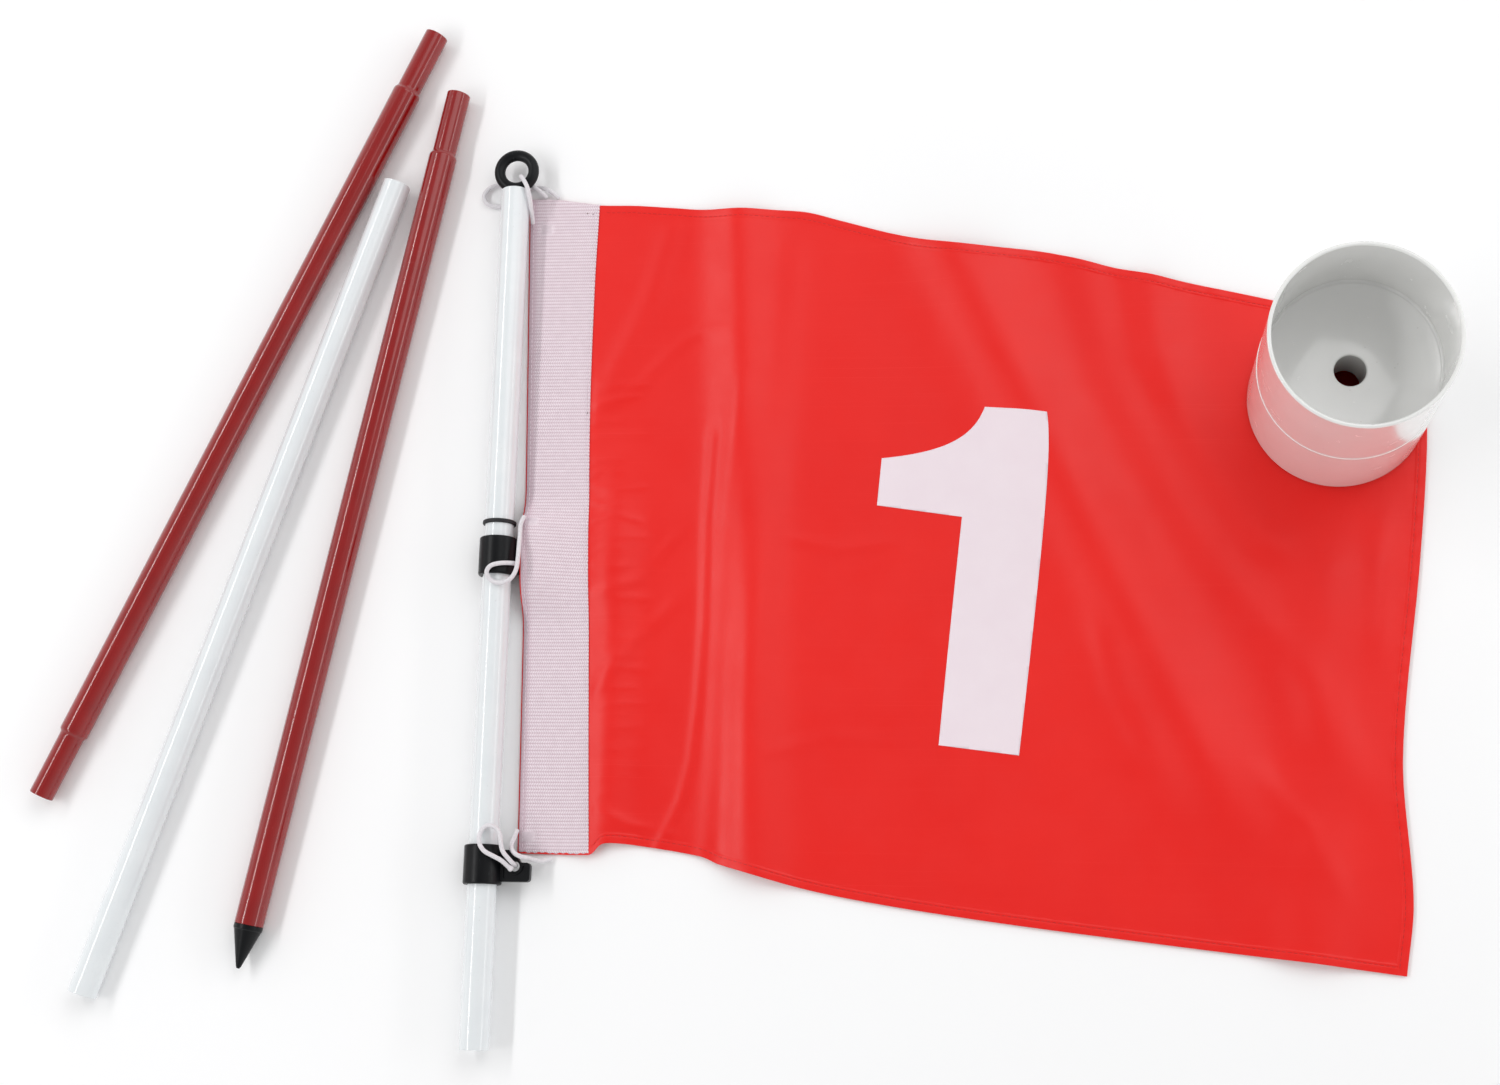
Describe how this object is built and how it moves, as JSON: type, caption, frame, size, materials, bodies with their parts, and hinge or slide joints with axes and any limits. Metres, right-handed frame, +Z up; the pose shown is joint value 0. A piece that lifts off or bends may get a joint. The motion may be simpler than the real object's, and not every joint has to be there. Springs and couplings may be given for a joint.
{
  "type": "golf flagstick",
  "caption": "Knock-down golf flagstick laid flat: top pole with swivel clips, numbered flag and eye, loose pole sections, ground spike and a hole cup.",
  "frame": {"origin": "middle of the laid-out kit's outline, on the table it lies on", "axes": "+Z up from the table, +Y along the top pole towards its eye"},
  "size_m": [0.772, 0.5874, 0.1147],
  "materials": {
    "white_paint": "gloss",
    "red_paint": "gloss",
    "black_plastic": "satin",
    "stop_rubber": "matte",
    "flag_nylon": "woven nylon",
    "tape_cotton": "woven tape",
    "numeral_cloth": "plain cloth",
    "cord_braid": "braided",
    "cup_plastic": "gloss"
  },
  "bodies": {
    "flag": {"flag_cloth": "flag_nylon", "header_tape": "tape_cotton", "numeral_patch": "numeral_cloth", "top_cord": "cord_braid", "eye_cord": "cord_braid", "upper_clip_cord": "cord_braid", "lower_clip_cord": "cord_braid", "foot_cord": "cord_braid"},
    "top_pole": {"top_pole_tube": "white_paint", "eye_finial": "black_plastic"},
    "stop": {"stop_ring": "stop_rubber"},
    "upper_swivel": {"upper_clip": "black_plastic"},
    "lower_swivel": {"lower_clip": "black_plastic"},
    "middle_pole": {"middle_pole_tube": "red_paint"},
    "plain_pole": {"plain_pole_tube": "white_paint"},
    "spike_pole": {"spike_pole_tube": "red_paint", "ground_spike": "black_plastic"},
    "cup": {"cup_shell": "cup_plastic"}
  },
  "joints": [
    {"name": "pole_turn", "type": "hinge", "parent": "flag", "child": "top_pole", "pos_m": [-0.1248, 0, 0.0105], "axis": [0, 1, 0], "continuous": true, "deforming": ["eye_cord", "top_cord"]},
    {"name": "stop_ring_slide", "type": "slide", "parent": "top_pole", "child": "stop", "axis": [0, 1, 0], "range_m": [-0.0035, 0.165]},
    {"name": "upper_clip_slide", "type": "slide", "parent": "flag", "child": "upper_swivel", "axis": [0, 1, 0], "range_m": [-0.004, 0.004], "deforming": ["upper_clip_cord"]},
    {"name": "lower_clip_slide", "type": "slide", "parent": "flag", "child": "lower_swivel", "axis": [0, 1, 0], "range_m": [-0.004, 0.004], "deforming": ["lower_clip_cord", "foot_cord"]},
    {"name": "middle_pole_lift", "type": "slide", "parent": "flag", "child": "middle_pole", "axis": [0, 0, 1], "range_m": [0, 0.25]},
    {"name": "plain_pole_lift", "type": "slide", "parent": "flag", "child": "plain_pole", "axis": [0, 0, 1], "range_m": [0, 0.25]},
    {"name": "spike_pole_lift", "type": "slide", "parent": "flag", "child": "spike_pole", "axis": [0, 0, 1], "range_m": [0, 0.25]},
    {"name": "cup_lift", "type": "slide", "parent": "flag", "child": "cup", "axis": [0, 0, 1], "range_m": [0, 0.25]}
  ]
}
